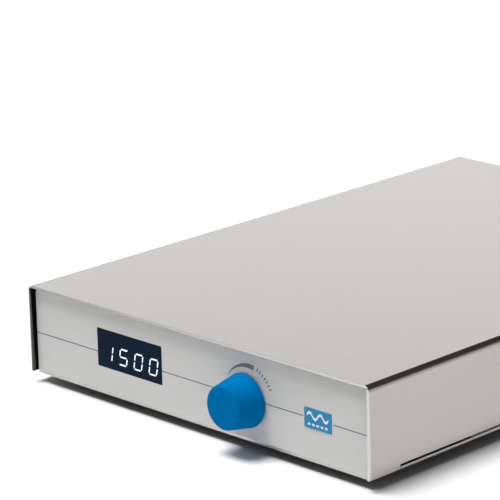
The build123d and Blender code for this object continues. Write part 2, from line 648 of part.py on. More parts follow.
def motor_screw_places():
    places = PolarLocations(MOTOR_SCREW_ARM, MOTOR_SCREW_COUNT, start_angle=MOTOR_SCREW_TURN)
    return [(MOTOR_X + p.position.X, MOTOR_Y + p.position.Y) for p in places]


def motor_housing():
    can = Cylinder(MOTOR_RADIUS, MOTOR_LENGTH)
    can = chamfer(can.edges().group_by(Axis.Z)[0], MOTOR_CHAMFER)
    can = Pos(MOTOR_X, MOTOR_Y, MOTOR_TOP - MOTOR_LENGTH / 2) * can
    for x, y in motor_screw_places():
        can -= upright(SCREW_RADIUS + SEAT_GAP, MOTOR_TOP - SCREW_REACH, MOTOR_TOP, x, y)
    return can - upright(MOTOR_SHAFT_RADIUS + RUN_GAP, MOTOR_TOP - MOTOR_SHAFT_SEAT - GAP,
                         MOTOR_TOP, MOTOR_X, MOTOR_Y)


def motor_shaft():
    return upright(MOTOR_SHAFT_RADIUS, MOTOR_TOP - MOTOR_SHAFT_SEAT, PULLEY_TOP,
                   MOTOR_X, MOTOR_Y)


def motor_pulley():
    low = UPPER_GROOVE - GROOVE_WIDTH / 2
    high = UPPER_GROOVE + GROOVE_WIDTH / 2
    pulley = upright(MOTOR_FLANGE_RADIUS, low - FLANGE_THICK + GAP, high + FLANGE_THICK)
    pulley -= upright(MOTOR_FLANGE_RADIUS, low, high) - upright(MOTOR_PULLEY_RADIUS, low, high)
    pulley -= upright(MOTOR_SHAFT_RADIUS + SEAT_GAP, low - FLANGE_THICK, high + FLANGE_THICK)
    return Pos(MOTOR_X, MOTOR_Y) * pulley


def drive_belt():
    x, y = COLUMN_X[0], ROW_Y[-1]
    return belt((MOTOR_X, MOTOR_Y, MOTOR_PULLEY_RADIUS), (x, y, PULLEY_RADIUS), UPPER_GROOVE)


def cross_belt():
    y = ROW_Y[0]
    ends = [(x, y, PULLEY_RADIUS) for x in (COLUMN_X[0], COLUMN_X[-1])]
    return belt(ends[0], ends[1], LOWER_GROOVE)


def column_belts():
    belts = []
    for x in COLUMN_X:
        for row in range(ROWS - 1):
            middle = UPPER_GROOVE if row % 2 == 0 else LOWER_GROOVE
            near = (x, ROW_Y[row], PULLEY_RADIUS)
            far = (x, ROW_Y[row + 1], PULLEY_RADIUS)
            belts.append(belt(near, far, middle))
    return Compound(belts)


# ---- Electronics ----
def digit_module():
    start = PANEL_BACK + WINDOW_LIP_THICK + GAP
    return block(WINDOW_X - DIGITS_WIDTH / 2, WINDOW_X + DIGITS_WIDTH / 2,
                 start, start + DIGITS_DEPTH,
                 WINDOW_Z - DIGITS_HEIGHT / 2, WINDOW_Z + DIGITS_HEIGHT / 2)


def display_board():
    half_width = DISPLAY_BOARD_WIDTH / 2
    half_height = DISPLAY_BOARD_HEIGHT / 2
    back = DISPLAY_BOARD_FACE + BOARD_THICK
    return block(WINDOW_X - half_width, WINDOW_X + half_width, DISPLAY_BOARD_FACE, back,
                 WINDOW_Z - half_height, WINDOW_Z + half_height)


def control_board():
    half = CONTROL_BOARD_WIDTH / 2
    return block(-half, half, CONTROL_FRONT, CONTROL_REAR, CONTROL_BOTTOM, CONTROL_TOP)


def board_standoffs():
    """Pillars from the front panel to the display board and from the tray to the control board."""
    x_arm = DISPLAY_BOARD_WIDTH / 2 - BOARD_POST_INSET
    z_arm = DISPLAY_BOARD_HEIGHT / 2 - BOARD_POST_INSET
    pillars = [
        lengthwise(BOARD_POST_RADIUS, PANEL_BACK, DISPLAY_BOARD_FACE,
                   WINDOW_X + side * x_arm, WINDOW_Z + level * z_arm)
        for side in (-1, 1)
        for level in (-1, 1)
    ]
    corner_x = CONTROL_BOARD_WIDTH / 2 - BOARD_POST_INSET
    ends = (CONTROL_FRONT + BOARD_POST_INSET, CONTROL_REAR - BOARD_POST_INSET)
    pillars += [
        upright(BOARD_POST_RADIUS, FLOOR, CONTROL_BOTTOM, side * corner_x, y)
        for side in (-1, 1)
        for y in ends
    ]
    return Compound(pillars)


def heat_sink():
    low = HEAT_SINK_X - HEAT_SINK_WIDTH / 2
    start = (CONTROL_FRONT + CONTROL_REAR - HEAT_SINK_DEPTH) / 2
    end = start + HEAT_SINK_DEPTH
    sink = block(low, low + HEAT_SINK_WIDTH, start, end, CONTROL_TOP,
                 CONTROL_TOP + HEAT_SINK_BASE)
    step = (HEAT_SINK_WIDTH - HEAT_SINK_FIN) / (HEAT_SINK_FINS - 1)
    for fin in range(HEAT_SINK_FINS):
        x = low + step * fin
        sink += block(x, x + HEAT_SINK_FIN, start, end, CONTROL_TOP,
                      CONTROL_TOP + HEAT_SINK_HEIGHT)
    return sink


def capacitors():
    y = (CONTROL_FRONT + CONTROL_REAR) / 2
    return Compound([
        upright(CAPACITOR_RADIUS, CONTROL_TOP, CONTROL_TOP + CAPACITOR_HEIGHT,
                CAPACITOR_X + CAPACITOR_PITCH * place, y)
        for place in range(CAPACITOR_COUNT)
    ])


def control_chip():
    y = (CONTROL_FRONT + CONTROL_REAR) / 2
    half = CHIP_WIDTH / 2
    return block(CHIP_X - half, CHIP_X + half, y - half, y + half,
                 CONTROL_TOP, CONTROL_TOP + CHIP_THICK)


def connectors():
    half = CONNECTOR_WIDTH / 2
    top = CONTROL_TOP + CONNECTOR_HEIGHT
    rear = CONTROL_REAR - GAP
    front = CONTROL_FRONT + GAP
    sockets = [
        block(x - half, x + half, rear - CONNECTOR_DEPTH, rear, CONTROL_TOP, top)
        for x in (MOTOR_X, INLET_X)
    ]
    sockets.append(block(WINDOW_X - half, WINDOW_X + half, front, front + CONNECTOR_DEPTH,
                         CONTROL_TOP, top))
    return Compound(sockets)


def display_ribbon():
    start = (DISPLAY_BOARD_FACE + BOARD_THICK, WINDOW_Z)
    corner = (CONTROL_FRONT + GAP + CONNECTOR_DEPTH / 2, WINDOW_Z)
    end = (corner[0], CONTROL_TOP + CONNECTOR_HEIGHT)
    return cable([start, corner, end], RIBBON_WIDTH, WINDOW_X)


def riser_to_board(start_points, x, width):
    """A cable under the drive plate, up behind the control board and into its connector."""
    run = FLOOR + CABLE_LIFT
    rise = (CONTROL_REAR + PLATE_FRONT) / 2
    entry = CONTROL_TOP + CONNECTOR_HEIGHT / 2
    points = start_points + [(rise, run), (rise, entry), (CONTROL_REAR - GAP, entry)]
    return cable(points, width, x)


def motor_ribbon():
    run = FLOOR + CABLE_LIFT
    return riser_to_board([(MOTOR_Y - MOTOR_RADIUS, run)], MOTOR_X, RIBBON_WIDTH)


def power_lead():
    start = REAR_FACE - INLET_LENGTH
    drop = (start + PLATE_REAR) / 2
    run = FLOOR + CABLE_LIFT
    return riser_to_board([(start, REAR_Z), (drop, REAR_Z), (drop, run)], INLET_X, LEAD_WIDTH)


# ---- Rear panel ----
def power_inlet():
    mouth = REAR_FACE + INLET_FLANGE_THICK
    jack = lengthwise(INLET_RADIUS, REAR_FACE - INLET_LENGTH, REAR_FACE, INLET_X, REAR_Z)
    jack += lengthwise(INLET_FLANGE_RADIUS, REAR_FACE, mouth, INLET_X, REAR_Z)
    floor = mouth - INLET_SOCKET_DEPTH
    jack -= lengthwise(INLET_SOCKET_RADIUS, floor, mouth, INLET_X, REAR_Z)
    return jack + lengthwise(INLET_PIN_RADIUS, floor, floor + INLET_PIN_LENGTH, INLET_X, REAR_Z)


def inlet_nut():
    hexagon = RegularPolygon(INLET_NUT_RADIUS, 6, major_radius=False)
    ring = hexagon - Circle(INLET_RADIUS + SEAT_GAP)
    return Pos(INLET_X, REAR_BACK, REAR_Z) * Rot(90, 0, 0) * extrude(ring, INLET_NUT_THICK)


def switch_frame():
    face = REAR_FACE + SWITCH_BEZEL_THICK
    frame = panel_plate(SWITCH_WIDTH, SWITCH_HEIGHT, SWITCH_CORNER, REAR_FACE - SWITCH_LENGTH,
                        REAR_FACE, SWITCH_X, REAR_Z)
    frame += panel_plate(SWITCH_WIDTH + 2 * SWITCH_BEZEL, SWITCH_HEIGHT + 2 * SWITCH_BEZEL,
                         SWITCH_BEZEL, REAR_FACE, face, SWITCH_X, REAR_Z)
    half_width = ROCKER_WIDTH / 2 + ROCKER_SIDE_GAP
    half_height = ROCKER_HEIGHT / 2 + GAP
    return frame - block(SWITCH_X - half_width, SWITCH_X + half_width, face - ROCKER_HOLLOW, face,
                         REAR_Z - half_height, REAR_Z + half_height)


def rocker():
    half = ROCKER_WIDTH / 2
    end_rise = ROCKER_PIVOT_DEPTH + ROCKER_END_RISE
    shoulder = ROCKER_PIVOT_DEPTH - ROCKER_END_RISE
    outline = Polygon(
        (-half, shoulder),
        (-ROCKER_KEEL_WIDTH / 2, -ROCKER_KEEL),
        (ROCKER_KEEL_WIDTH / 2, -ROCKER_KEEL),
        (half, shoulder),
        (half, end_rise),
        (0, end_rise - ROCKER_DIP),
        (-half, end_rise),
        align=None,
    )
    paddle = extrude(outline, ROCKER_HEIGHT / 2, both=True)
    pivot_y = REAR_FACE + SWITCH_BEZEL_THICK - ROCKER_PIVOT_DEPTH
    return Pos(SWITCH_X, pivot_y, REAR_Z) * Rot(0, 0, -ROCKER_TILT) * paddle


NODES = {
    "cover": cover,
    "base_tray": base_tray,
    "cover_brackets": cover_brackets,
    "cover_screws": cover_screws,
    "feet": feet,
    "foot_screws": foot_screws,
    "front_overlay": front_overlay,
    "display_window": display_window,
    "badge": badge,
    "knob": knob,
    "encoder_shaft": encoder_shaft,
    "encoder_wheel": encoder_wheel,
    "encoder_housing": encoder_housing,
    "encoder_nut": encoder_nut,
    "axle_posts": axle_posts,
    "post_clips": post_clips,
    "thrust_washers": thrust_washers,
    "drive_plate": drive_plate,
    "plate_standoffs": plate_standoffs,
    "drive_screws": drive_screws,
    "motor_bracket": motor_bracket,
    "motor_housing": motor_housing,
    "motor_shaft": motor_shaft,
    "motor_pulley": motor_pulley,
    "drive_belt": drive_belt,
    "cross_belt": cross_belt,
    "column_belts": column_belts,
    "digit_module": digit_module,
    "display_board": display_board,
    "control_board": control_board,
    "board_standoffs": board_standoffs,
    "heat_sink": heat_sink,
    "capacitors": capacitors,
    "control_chip": control_chip,
    "connectors": connectors,
    "display_ribbon": display_ribbon,
    "motor_ribbon": motor_ribbon,
    "power_lead": power_lead,
    "power_inlet": power_inlet,
    "inlet_nut": inlet_nut,
    "switch_frame": switch_frame,
    "rocker": rocker,
}

os.makedirs("parts", exist_ok=True)
for name, make in NODES.items():
    export_step(make(), f"parts/{name}.step")
for number, (x, y) in enumerate(POSITIONS, start=1):
    export_step(rotor_hub(x, y), f"parts/rotor_hub_{number}.step")
    export_step(rotor_magnets(x, y), f"parts/rotor_magnets_{number}.step")
    export_step(rotor_bushing(x, y), f"parts/rotor_bushing_{number}.step")
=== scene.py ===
import json
from math import cos, pi, radians, sin

import bmesh
import bpy
from mathutils import Matrix, Vector


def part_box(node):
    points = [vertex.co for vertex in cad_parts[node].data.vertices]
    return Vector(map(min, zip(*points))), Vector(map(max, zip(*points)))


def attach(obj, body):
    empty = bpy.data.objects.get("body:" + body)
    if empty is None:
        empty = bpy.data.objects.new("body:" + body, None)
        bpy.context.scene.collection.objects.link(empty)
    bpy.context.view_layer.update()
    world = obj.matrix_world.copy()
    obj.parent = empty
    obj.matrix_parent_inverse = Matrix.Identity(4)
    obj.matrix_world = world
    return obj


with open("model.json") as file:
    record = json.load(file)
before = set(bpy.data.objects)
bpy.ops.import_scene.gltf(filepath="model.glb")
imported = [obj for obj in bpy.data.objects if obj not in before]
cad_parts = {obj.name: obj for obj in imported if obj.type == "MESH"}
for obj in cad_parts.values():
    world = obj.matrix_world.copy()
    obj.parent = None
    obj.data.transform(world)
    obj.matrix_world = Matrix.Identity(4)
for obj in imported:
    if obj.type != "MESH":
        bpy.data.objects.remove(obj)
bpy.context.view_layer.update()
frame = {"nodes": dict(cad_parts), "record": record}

nodes = frame["nodes"]

# ---- Places and sizes from the frame, in metres ----
MM = 0.001
COVER_LOW, COVER_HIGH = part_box("cover")
TRAY_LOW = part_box("base_tray")[0]
FILM_LOW, FILM_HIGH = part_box("front_overlay")
WINDOW_LOW, WINDOW_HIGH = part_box("display_window")
KNOB_LOW, KNOB_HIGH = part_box("knob")
BADGE_LOW, BADGE_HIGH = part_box("badge")
SHAFT_LOW, SHAFT_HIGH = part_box("encoder_shaft")
FILM_FACE = FILM_LOW.y
KNOB_AXIS = ((SHAFT_LOW.x + SHAFT_HIGH.x) / 2, (KNOB_LOW.z + KNOB_HIGH.z) / 2)
KNOB_RADIUS = (KNOB_HIGH.x - KNOB_LOW.x) / 2
LINE_Z = (BADGE_LOW.z + BADGE_HIGH.z) / 2

SHEET = 1.2 * MM              # the cover's sheet
EDGE_RAKE = 1.3 * MM          # how far the cover's ends lean inwards at the bottom
WINDOW_LIP = 2.0 * MM         # the window's flange behind the panel
PRINT_THICK = 0.03 * MM       # printed ink
PRINT_SINK = 0.05 * MM        # ink's back face inside the piece that it is printed on
SKIN = 0.1 * MM               # depth of the painted near-black shade and rough finish that only one side of a sheet has
BEND = 2.9 * MM               # reach of the cover's bends
CUT_DEPTH = 0.25 * MM         # reach of the cut ends' painted highlight and shade and their rougher finish


# ---- Node helpers ----
NOISE_LOW, NOISE_HIGH = 0.3, 0.7      # nearly all of a noise node's values lie between these


class Nodes:
    """A node tree, with short calls for the nodes that the finishes and the sky use."""

    def __init__(self, tree, coordinates):
        self.tree = tree
        self.place = tree.nodes.new("ShaderNodeTexCoord").outputs[coordinates]

    def feed(self, socket, value):
        """A number, a colour or another node's output, into a socket."""
        if isinstance(value, (int, float)):
            socket.default_value = value
        elif isinstance(value, tuple):
            socket.default_value = (*value, 1.0)
        else:
            self.tree.links.new(value, socket)

    def axis(self, name):
        """One coordinate of the place: X, Y or Z."""
        node = self.tree.nodes.new("ShaderNodeSeparateXYZ")
        self.feed(node.inputs["Vector"], self.place)
        return node.outputs[name]

    def math(self, operation, a, b=0.0):
        node = self.tree.nodes.new("ShaderNodeMath")
        node.operation = operation
        self.feed(node.inputs[0], a)
        self.feed(node.inputs[1], b)
        return node.outputs["Value"]

    def product(self, first, *others):
        for other in others:
            first = self.math("MULTIPLY", first, other)
        return first

    def blend(self, factor, a, b):
        """A number that goes from a to b with factor."""
        return self.math("ADD", a, self.product(factor, self.math("SUBTRACT", b, a)))

    def off_middle(self, value, low, high):
        """How far a value lies from the middle of low and high."""
        return self.math("ABSOLUTE", self.math("SUBTRACT", value, (low + high) / 2))

    def remap(self, value, low, high, to_low=0.0, to_high=1.0, interpolation="LINEAR"):
        node = self.tree.nodes.new("ShaderNodeMapRange")
        node.interpolation_type = interpolation
        for socket, number in zip(node.inputs[1:5], (low, high, to_low, to_high)):
            socket.default_value = number
        self.feed(node.inputs["Value"], value)
        return node.outputs["Result"]


class Shader(Nodes):
    """One material's node tree, placed by the object's own coordinates."""

    def __init__(self, name):
        self.material = bpy.data.materials.new(name)
        self.material.use_nodes = True
        super().__init__(self.material.node_tree, "Object")
        self.surface = self.tree.nodes["Principled BSDF"]

    def set(self, **values):
        """Uniform values, straight on the shader's own sockets."""
        for name, value in values.items():
            self.surface.inputs[name.replace("_", " ")].default_value = value

    def stretched(self, scale):
        node = self.tree.nodes.new("ShaderNodeMapping")
        node.inputs["Scale"].default_value = scale
        self.feed(node.inputs["Vector"], self.place)
        return node.outputs["Vector"]

    def noise(self, scale, detail=3.0, roughness=0.5, vector=None):
        node = self.tree.nodes.new("ShaderNodeTexNoise")
        node.inputs["Scale"].default_value = scale
        node.inputs["Detail"].default_value = detail
        node.inputs["Roughness"].default_value = roughness
        self.feed(node.inputs["Vector"], self.place if vector is None else vector)
        return node.outputs["Fac"]

    def spread(self, noise, low, high):
        """A noise value, stretched to run from low to high."""
        return self.remap(noise, NOISE_LOW, NOISE_HIGH, low, high)

    def cloudy(self, roughness, added, scale):
        """A roughness that varies in patches. added is the least and the most that it gains."""
        return self.spread(self.noise(scale, detail=4.0), roughness + added[0], roughness + added[1])

    def mix(self, factor, a, b):
        """A colour that goes from a to b with factor."""
        node = self.tree.nodes.new("ShaderNodeMix")
        node.data_type = "RGBA"
        for socket, value in zip([s for s in node.inputs if s.type == "RGBA"], (a, b)):
            self.feed(socket, value)
        self.feed(node.inputs["Factor"], factor)
        return [o for o in node.outputs if o.type == "RGBA"][0]

    def drift(self, base, share, scale, detail=3.0):
        """A colour that varies over the surface by a share of itself."""
        darker = tuple(c * (1 - share) for c in base)
        lighter = tuple(min(1.0, c * (1 + share)) for c in base)
        return self.mix(self.spread(self.noise(scale, detail), 0.0, 1.0), darker, lighter)

    def finish(self, color, roughness):
        self.color = color
        self.roughness = roughness
        self.feed(self.surface.inputs["Base Color"], color)
        self.feed(self.surface.inputs["Roughness"], roughness)

    def bump(self, height, strength, distance):
        node = self.tree.nodes.new("ShaderNodeBump")
        node.inputs["Strength"].default_value = strength
        node.inputs["Distance"].default_value = distance
        self.feed(node.inputs["Height"], height)
        self.feed(self.surface.inputs["Normal"], node.outputs["Normal"])


# ---- Finishes ----
STEEL = (0.460, 0.440, 0.422)
STEEL_ROUGHNESS = 0.20
STEEL_CLOUD = (-0.004, 0.006)         # roughness added in patches
STEEL_STREAKS = (-0.025, 0.025)       # roughness added along the grain
GRAIN = (3.0, 140.0, 140.0)           # brushed along X
# painted light on the cut ends: shade at the left end, a bright highlight at the right end
CUT_END_PAINTED_SHADE_LEFT = (0.36, 0.355, 0.345)
CUT_END_PAINTED_HIGHLIGHT_RIGHT = (0.66, 0.65, 0.63)
CUT_ROUGHNESS = 0.34
BEND_PAINTED_DARK_REFLECTION = (0.30, 0.28, 0.25)       # painted dark reflection along the bends; the bent steel is stretched and burnished by the bending tool, which gives the lower roughness
BENT_ROUGHNESS = 0.12
LEFT_CUT_PAINTED_SHADE = (0.17, 0.17, 0.16)    # painted shade on the cut ends of the left wall
# painted shade: near-black on the faces inside the case and on the tray's floor
HIDDEN_FACE_PAINTED_SHADE = (0.012, 0.012, 0.013)
DULL_ROUGHNESS = 0.7
PLATED_CLOUD = (-0.08, 0.09)          # roughness added in patches
MOULDED_CLOUD = (-0.05, 0.05)
FILM = (0.595, 0.592, 0.580)


def satin_steel(name):
    """Stainless sheet: a fine grain along X, faint cloudiness and a few light rub marks."""
    shader = Shader(name)
    shader.set(Metallic=1.0)
    fine = shader.noise(scale=42.0, detail=3.0, roughness=0.6, vector=shader.stretched(GRAIN))
    cloud = shader.cloudy(STEEL_ROUGHNESS, STEEL_CLOUD, scale=16.0)
    streaks = shader.spread(fine, *STEEL_STREAKS)
    shader.finish(shader.drift(STEEL, share=0.015, scale=9.0), shader.math("ADD", cloud, streaks))
    shader.bump(fine, strength=0.05, distance=0.03 * MM)
    return shader


def cover_inside(shader, across, under):
    """1 on the faces that look into the case, and through the left wall to its outer skin."""
    right = shader.math("LESS_THAN", across, COVER_HIGH.x - SHEET + SKIN)
    left = shader.math("GREATER_THAN", across, COVER_LOW.x + SKIN)
    return shader.product(left, right, under)


def cover_cut_ends(shader, up):
    """1 on the sheet's front and rear ends, which lean inwards at the bottom."""
    along = shader.off_middle(shader.axis("Y"), COVER_LOW.y, COVER_HIGH.y)
    lean = shader.remap(up, COVER_LOW.z, COVER_HIGH.z, EDGE_RAKE, 0.0)
    reach = (COVER_HIGH.y - COVER_LOW.y) / 2
    return shader.math("GREATER_THAN", shader.math("ADD", along, lean), reach - CUT_DEPTH)


def cover_bends(shader, across, up):
    """1 along the two bends between the top and the side walls."""
    wide = shader.off_middle(across, COVER_LOW.x, COVER_HIGH.x)
    reach = (COVER_HIGH.x - COVER_LOW.x) / 2
    outer = shader.math("GREATER_THAN", wide, reach - BEND)
    return shader.product(outer, shader.math("GREATER_THAN", up, COVER_HIGH.z - BEND))


def cover_steel():
    """The cover's sheet: satin outside, burnished and painted with a dark reflection at its bends,
    painted near-black shade inside, and cut ends painted from shade at the left to a highlight at
    the right, with painted shade on the left wall's ends.
    """
    shader = satin_steel("cover_steel")
    across = shader.axis("X")
    up = shader.axis("Z")
    under = shader.math("LESS_THAN", up, COVER_HIGH.z - SHEET + SKIN)
    inside = cover_inside(shader, across, under)
    cut = cover_cut_ends(shader, up)
    bend = cover_bends(shader, across, up)
    left_wall = shader.math("LESS_THAN", across, COVER_LOW.x + SHEET)
    rightward = shader.remap(across, COVER_LOW.x, COVER_HIGH.x)
    # the bends are painted dark, a painted reflection
    color = shader.mix(bend, shader.color, BEND_PAINTED_DARK_REFLECTION)
    # the cut ends are painted from shade at the left to a highlight at the right
    color = shader.mix(cut, color, shader.mix(rightward, CUT_END_PAINTED_SHADE_LEFT, CUT_END_PAINTED_HIGHLIGHT_RIGHT))
    # the faces inside the case are painted near-black shade
    color = shader.mix(inside, color, HIDDEN_FACE_PAINTED_SHADE)
    # painted shade on the left wall's cut ends
    color = shader.mix(shader.product(cut, left_wall, under), color, LEFT_CUT_PAINTED_SHADE)
    roughness = shader.blend(bend, shader.roughness, BENT_ROUGHNESS)
    roughness = shader.blend(cut, roughness, CUT_ROUGHNESS)
    roughness = shader.blend(inside, roughness, DULL_ROUGHNESS)
    shader.finish(color, roughness)
    return shader.material


def tray_steel():
    """The tray's sheet: satin, with its floor painted near-black shade and rougher, above and below.
    """
    shader = satin_steel("tray_steel")
    below = shader.math("LESS_THAN", shader.axis("Z"), TRAY_LOW.z + SHEET + SKIN)
    within = shader.math("LESS_THAN", shader.math("ABSOLUTE", shader.axis("X")),
                         COVER_HIGH.x - SHEET)
    behind = shader.math("GREATER_THAN", shader.axis("Y"), TRAY_LOW.y + SHEET)
    floor = shader.product(below, within, behind)
    # the tray's floor is painted near-black shade
    shader.finish(shader.mix(floor, shader.color, HIDDEN_FACE_PAINTED_SHADE),
                  shader.blend(floor, shader.roughness, DULL_ROUGHNESS))
    return shader.material


def plated(name, base, rough=0.33):
    """Bare or plated metal with a slightly uneven, cloudy surface."""
    shader = Shader(name)
    shader.set(Metallic=1.0)
    shader.finish(shader.drift(base, share=0.08, scale=60.0),
                  shader.cloudy(rough, PLATED_CLOUD, scale=90.0))
    shader.bump(shader.noise(scale=400.0, detail=2.0), strength=0.08, distance=0.05 * MM)
    return shader.material


def moulded(name, base, rough, grain_scale=1800.0, grain=0.12, drift=0.05, **uniform):
    """Moulded plastic, film, ink or rubber with a fine eroded grain and faint rubbed patches."""
    shader = Shader(name)
    shader.set(**uniform)
    shader.finish(shader.drift(base, share=drift, scale=35.0),
                  shader.cloudy(rough, MOULDED_CLOUD, scale=45.0))
    shader.bump(shader.noise(grain_scale, detail=2.0, roughness=0.6),
                strength=grain, distance=0.04 * MM)
    return shader.material


def ink(name, base):
    """Ink printed on the film or on the badge."""
    return moulded(name, base, rough=0.4, grain_scale=500.0, grain=0.03, Specular_IOR_Level=0.2)


def lit(name, color, strength):
    """Light that comes through a display's segment, a little uneven along its length."""
    shader = Shader(name)
    shader.set(Specular_IOR_Level=0.1, Emission_Strength=strength)
    glow = shader.drift(color, share=0.05, scale=700.0)
    shader.finish(glow, roughness=0.5)
    shader.feed(shader.surface.inputs["Emission Color"], glow)
    return shader.material


MATERIALS = {
    "stainless": satin_steel("stainless").material,
    "zinc_steel": plated("zinc_steel", (0.62, 0.63, 0.64)),
    "printed_film": moulded("printed_film", FILM, rough=0.42, grain_scale=900.0, grain=0.06,
                            drift=0.008, Specular_IOR_Level=0.3),
    "smoked_lens": moulded("smoked_lens", (0.006, 0.016, 0.033), rough=0.16, grain_scale=300.0,
                           grain=0.01, Specular_IOR_Level=0.02),
    "blue_print": moulded("blue_print", (0.002, 0.22, 0.46), rough=0.3, grain_scale=500.0,
                          grain=0.03, Specular_IOR_Level=0.3),
    "knob_blue": moulded("knob_blue", (0.0003, 0.150, 0.40), rough=0.44, grain_scale=1400.0,
                         grain=0.14, Specular_IOR_Level=0.0),
    "rubber": moulded("rubber", (0.02, 0.02, 0.02), rough=0.65, grain_scale=900.0, grain=0.3),
    "belt_rubber": moulded("belt_rubber", (0.03, 0.03, 0.03), rough=0.6, grain_scale=1200.0,
                           grain=0.3),
    "black_plastic": moulded("black_plastic", (0.02, 0.02, 0.022), rough=0.45),
    "rotor_plastic": moulded("rotor_plastic", (0.45, 0.46, 0.47), rough=0.4),
    "magnet": plated("magnet", (0.55, 0.55, 0.57), rough=0.25),
    "bronze": plated("bronze", (0.60, 0.36, 0.16)),
    "aluminium": plated("aluminium", (0.76, 0.76, 0.77)),
    "circuit_board": moulded("circuit_board", (0.01, 0.14, 0.06), rough=0.35, grain_scale=700.0,
                             grain=0.1),
    "cable_grey": moulded("cable_grey", (0.35, 0.35, 0.36), rough=0.5),
    "cream_plastic": moulded("cream_plastic", (0.70, 0.66, 0.55), rough=0.45),
}
COVER_STEEL = cover_steel()
TRAY_STEEL = tray_steel()
LINE_INK = ink("line_ink", (0.008, 0.070, 0.075))
GREY_INK = ink("grey_ink", (0.15, 0.148, 0.14))
WHITE_INK = ink("white_ink", (0.80, 0.82, 0.83))
SEGMENT_LIGHT = lit("segment_light", (0.66, 0.76, 0.86), strength=0.75)


# ---- CAD nodes ----
WELD_REACH = 0.001 * MM
EDGE_SEGMENTS = 2
EDGE_ANGLE = 35.0                 # sharper folds than this, in degrees, are rounded
EDGE_WIDTHS = {
    "cover": 0.12 * MM,
    "base_tray": 0.15 * MM,
    "display_window": 0.12 * MM,
    "badge": 0.08 * MM,
}


def soften(node, width):
    """Small rounded edges on a CAD node, so that its edges catch the light."""
    weld = nodes[node].modifiers.new("weld", "WELD")
    weld.merge_threshold = WELD_REACH
    bevel = nodes[node].modifiers.new("edges", "BEVEL")
    bevel.width = width
    bevel.segments = EDGE_SEGMENTS
    bevel.limit_method = "ANGLE"
    bevel.angle_limit = radians(EDGE_ANGLE)
    bevel.harden_normals = True


def dress_frame():
    """Every CAD node's finish, and the rounded edges of the pieces seen close up."""
    for part in frame["record"]["subparts"]:
        mesh = nodes[part["node"]].data
        mesh.materials.clear()
        mesh.materials.append(MATERIALS[part["material_slot"]])
    nodes["cover"].data.materials[0] = COVER_STEEL
    nodes["base_tray"].data.materials[0] = TRAY_STEEL
    for node, width in EDGE_WIDTHS.items():
        soften(node, width)


# ---- Printed and lit pieces ----
def prism(name, outlines, face, material, body="case"):
    """Flat closed pieces on a face that looks to the front. Outlines are lists of (x, z)."""
    shape = bmesh.new()
    for outline in outlines:
        front = [shape.verts.new((x, face - PRINT_THICK, z)) for x, z in outline]
        back = [shape.verts.new((x, face + PRINT_SINK, z)) for x, z in outline]
        shape.faces.new(front)
        shape.faces.new(back[::-1])
        for i in range(len(outline)):
            j = (i + 1) % len(outline)
            shape.faces.new((front[i], back[i], back[j], front[j]))
    bmesh.ops.recalc_face_normals(shape, faces=shape.faces)
    mesh = bpy.data.meshes.new(name)
    shape.to_mesh(mesh)
    shape.free()
    mesh.materials.append(material)
    piece = bpy.data.objects.new(name, mesh)
    bpy.context.scene.collection.objects.link(piece)
    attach(piece, body)


def rectangle(x_low, x_high, z_low, z_high):
    return [(x_low, z_low), (x_high, z_low), (x_high, z_high), (x_low, z_high)]


def sector(center, start, end, inner, outer, steps):
    """A curved band from angle start to end, in degrees. inner and outer are functions of 0..1."""
    far, near = [], []
    for i in range(steps + 1):
        share = i / steps
        turn = radians(start + (end - start) * share)
        for side, radius in ((far, outer(share)), (near, inner(share))):
            side.append((center[0] + radius * cos(turn), center[1] + radius * sin(turn)))
    return far + near[::-1]


LINE_HALF = 0.20 * MM
LINE_GAP = 1.0 * MM           # printed line to the badge


def add_panel_line():
    """The thin line across the panel, broken at the window, the knob and the badge."""
    low, high = LINE_Z - LINE_HALF, LINE_Z + LINE_HALF
    window_low = WINDOW_LOW.x + WINDOW_LIP
    window_high = WINDOW_HIGH.x - WINDOW_LIP
    hidden = KNOB_RADIUS / 2
    runs = [
        (FILM_LOW.x, window_low),
        (window_high, KNOB_AXIS[0] - hidden),
        (KNOB_AXIS[0] + hidden, BADGE_LOW.x - LINE_GAP),
        (BADGE_HIGH.x + LINE_GAP, FILM_HIGH.x),
    ]
    outlines = [rectangle(start, end, low, high) for start, end in runs]
    prism("panel_line", outlines, FILM_FACE, LINE_INK)


ARC_START, ARC_END = 146.0, 74.0      # degrees, from +X, as seen from the front
ARC_INNER = 15.6 * MM
ARC_GROWTH = 2.6 * MM                 # the band's width at its wide end
ARC_TIP = 0.04                        # its width at its thin end, as a share of that
ARC_STEPS = 28
ARC_SHIFT = 1.0 * MM                  # the scale's centre, right of and over the knob's
TICKS = 7
TICK_START, TICK_END = 66.0, 27.0
TICK_HALF_ANGLE = 1.1
TICK_FOOT = 0.3                       # where a tick starts, as a share of the band's width
TICK_STEPS = 2


def add_knob_scale():
    """The tapered band over the knob, and the ticks that carry it on to the right."""
    center = (KNOB_AXIS[0] + ARC_SHIFT, KNOB_AXIS[1] + ARC_SHIFT)
    outlines = [sector(center, ARC_START, ARC_END, lambda share: ARC_INNER,
                       lambda share: ARC_INNER + ARC_GROWTH * (ARC_TIP + (1 - ARC_TIP) * share),
                       ARC_STEPS)]
    for i in range(TICKS):
        turn = TICK_START + (TICK_END - TICK_START) * i / (TICKS - 1)
        outlines.append(sector(center, turn + TICK_HALF_ANGLE, turn - TICK_HALF_ANGLE,
                               lambda share: ARC_INNER + TICK_FOOT * ARC_GROWTH,
                               lambda share: ARC_INNER + ARC_GROWTH, TICK_STEPS))
    prism("knob_scale", outlines, FILM_FACE, GREY_INK)


